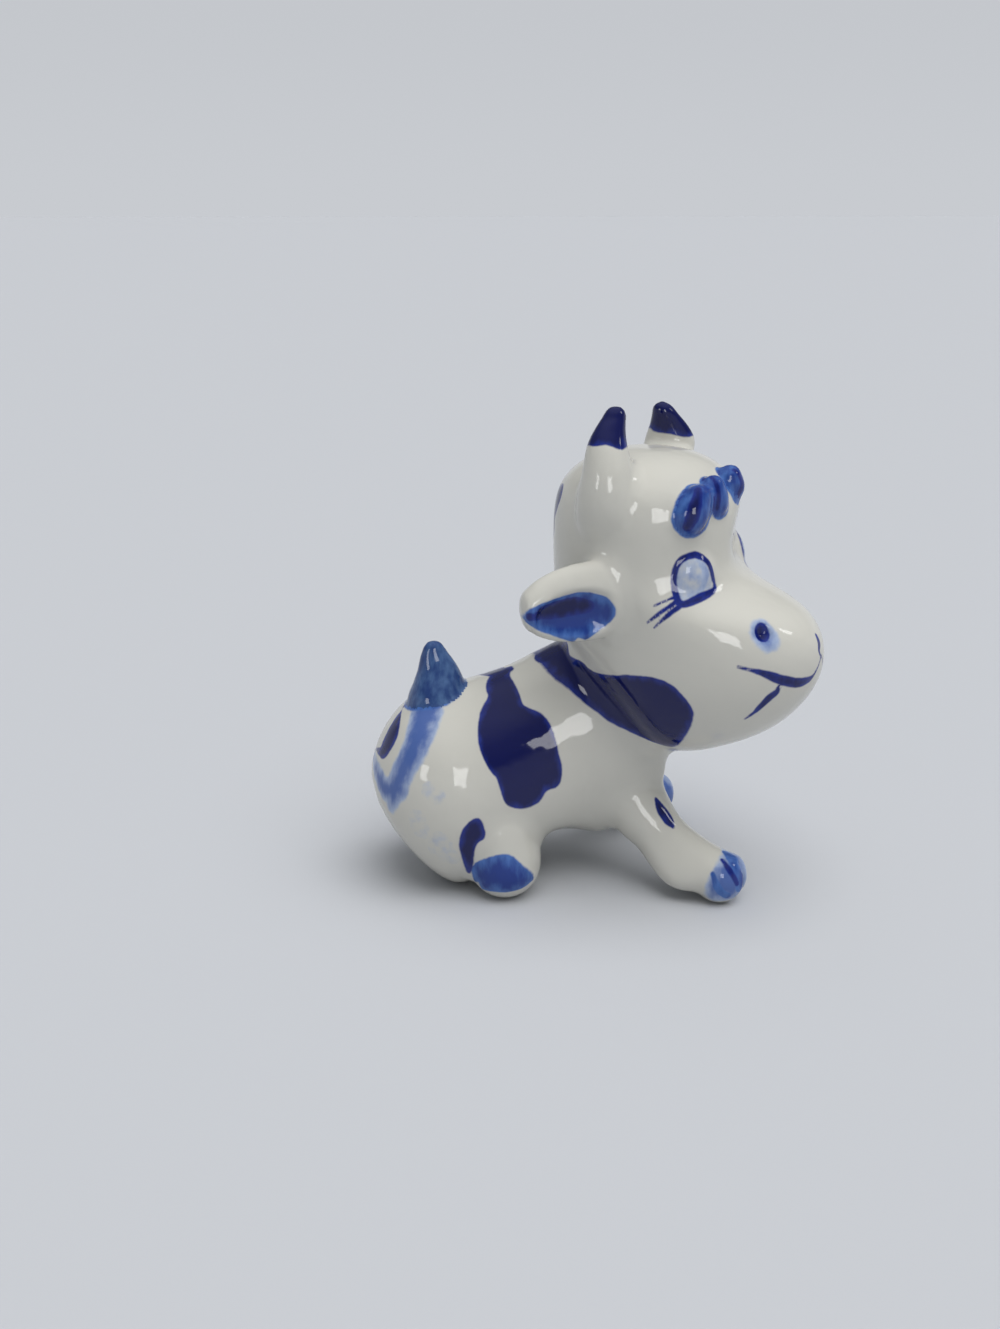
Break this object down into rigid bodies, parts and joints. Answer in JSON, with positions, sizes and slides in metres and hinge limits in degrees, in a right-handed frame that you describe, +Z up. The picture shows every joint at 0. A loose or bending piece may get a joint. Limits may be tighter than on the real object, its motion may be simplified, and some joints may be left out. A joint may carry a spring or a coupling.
{
  "type": "cow figurine",
  "caption": "Small hollow porcelain figurine of a sitting calf with its head turned, white glaze with blue underglaze painting, for display on a shelf.",
  "frame": {"origin": "on the ground, in the flat under the calf's seat", "axes": "+X the way the body faces, +Y the calf's left, +Z up"},
  "size_m": [0.0615, 0.0447, 0.0712],
  "materials": {
    "porcelain": "gloss",
    "cobalt_porcelain": "gloss"
  },
  "bodies": {
    "root": {"body": "porcelain", "head": "porcelain", "tail": "cobalt_porcelain", "horn_right": "porcelain", "ear_right": "porcelain", "front_leg_right": "porcelain", "hind_leg_right": "porcelain", "horn_left": "porcelain", "ear_left": "porcelain", "front_leg_left": "porcelain", "hind_leg_left": "porcelain", "forelock_right": "cobalt_porcelain", "forelock_middle": "cobalt_porcelain", "forelock_left": "cobalt_porcelain"}
  },
  "joints": []
}
